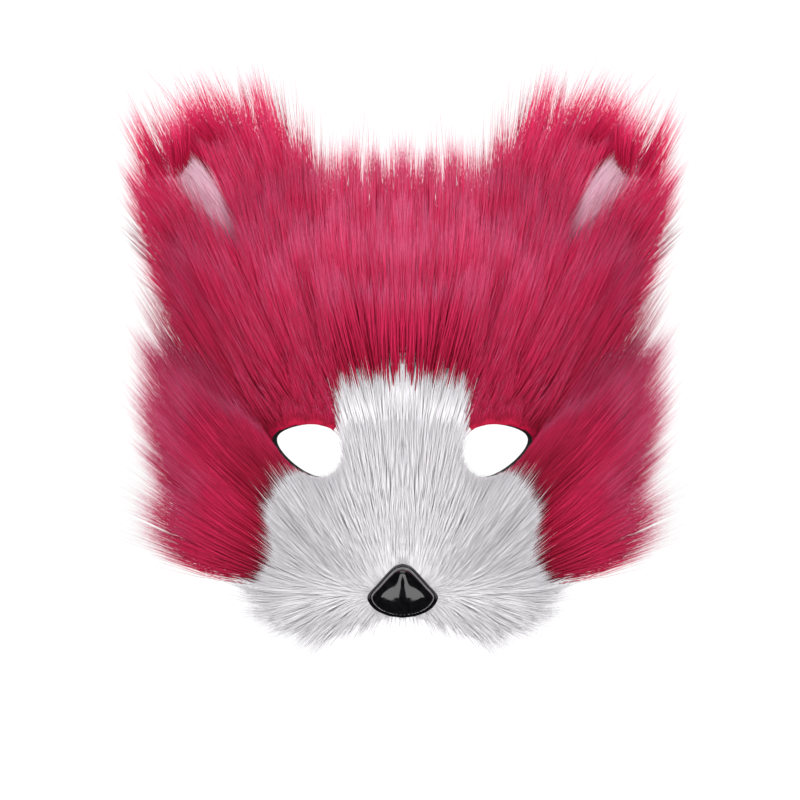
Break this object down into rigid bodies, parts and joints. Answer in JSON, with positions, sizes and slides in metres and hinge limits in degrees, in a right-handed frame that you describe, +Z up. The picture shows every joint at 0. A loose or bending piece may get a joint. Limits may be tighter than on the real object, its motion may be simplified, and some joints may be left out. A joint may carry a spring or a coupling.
{
  "type": "plush fox half mask",
  "caption": "Plush fox half mask: a foam face with a short snout, long brushed fur, upright ears, open eye holes, a glossy nose and an elastic strap.",
  "frame": {"origin": "on the eye line, where the inner face rests on the bridge of the wearer's nose", "axes": "+Z up, -Y the way the mask looks, +X to the right in the front view"},
  "size_m": [0.275, 0.2449, 0.2852],
  "materials": {
    "black_foam": "matte black foam sheet with a close, slightly rough skin",
    "pink_fur": "long brushed pile, deep rose at the roots and paler at the tips",
    "white_fur": "long brushed pile, cool white, shorter round the nose",
    "pale_fur": "sparse pinkish white pile",
    "nose_plastic": "polished black moulded plastic",
    "elastic": "ribbed woven black elastic"
  },
  "bodies": {
    "root": {"mask_base": "black_foam", "forehead_fur": "pink_fur", "cheek_fur_left": "pink_fur", "cheek_fur_right": "pink_fur", "ear_left": "pink_fur", "ear_right": "pink_fur", "muzzle_fur": "white_fur", "inner_ear_left": "pale_fur", "inner_ear_right": "pale_fur", "nose": "nose_plastic", "strap": "elastic"}
  },
  "joints": []
}
